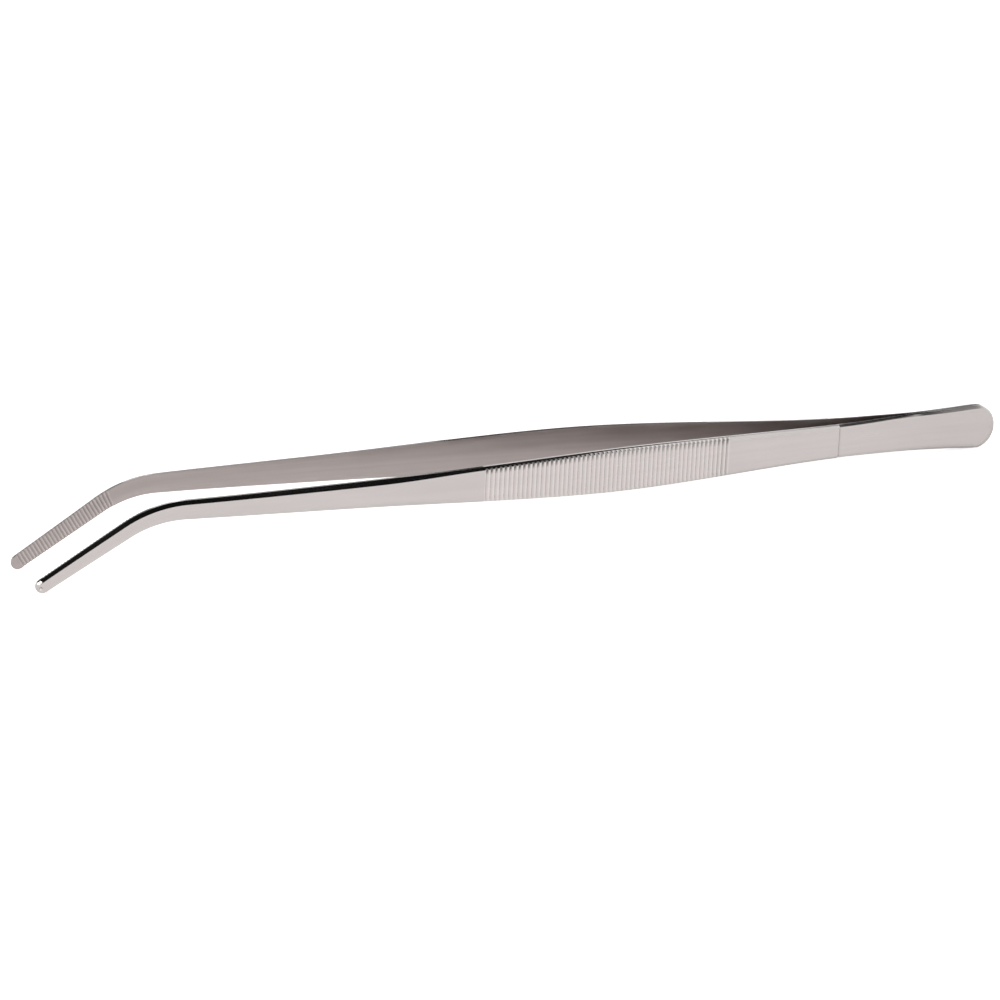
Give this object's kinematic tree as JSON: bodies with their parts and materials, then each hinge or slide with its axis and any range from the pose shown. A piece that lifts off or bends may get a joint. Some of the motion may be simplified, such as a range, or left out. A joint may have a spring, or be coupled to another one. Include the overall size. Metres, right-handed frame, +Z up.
{
  "type": "aquascaping tweezers",
  "caption": "Long-handled aquascaping tweezers: bowed spring-steel arms welded at a round butt, ribbed finger grips, slim shanks and down-angled serrated jaws.",
  "frame": {"origin": "on the surface that the tool stands on, at the middle of the bounding box's footprint", "axes": "+X along the tool from the jaws to the butt, +Y towards the rear arm, +Z up across the blades; the jaws point down towards the surface"},
  "size_m": [0.3, 0.0288, 0.0216],
  "materials": {
    "satin_steel": "satin, brushed lengthwise, with polished bevels",
    "weld_steel": "ground weld metal"
  },
  "bodies": {
    "tail": {"front_tail": "satin_steel", "rear_tail": "satin_steel", "front_spring": "satin_steel", "rear_spring": "satin_steel", "butt_weld": "weld_steel", "spot_weld_aft": "weld_steel", "spot_weld_fore": "weld_steel"},
    "front_arm": {"front_arm": "satin_steel"},
    "rear_arm": {"rear_arm": "satin_steel"}
  },
  "joints": [
    {"name": "front_arm_flex", "type": "hinge", "parent": "tail", "child": "front_arm", "pos_m": [0.11254, -0.0019, 0.00804], "axis": [-0.0491, 0, -0.9988], "range_deg": [0, 2.22], "stiffness_Nm_per_rad": 10, "deforming": ["front_spring"]},
    {"name": "rear_arm_flex", "type": "hinge", "parent": "tail", "child": "rear_arm", "pos_m": [0.11254, 0.0019, 0.00804], "axis": [0.0491, 0, 0.9988], "range_deg": [0, 2.22], "stiffness_Nm_per_rad": 10, "deforming": ["rear_spring"]}
  ],
  "couplings": [
    {"joint": "rear_arm_flex", "follows": "front_arm_flex", "ratio": 1}
  ]
}
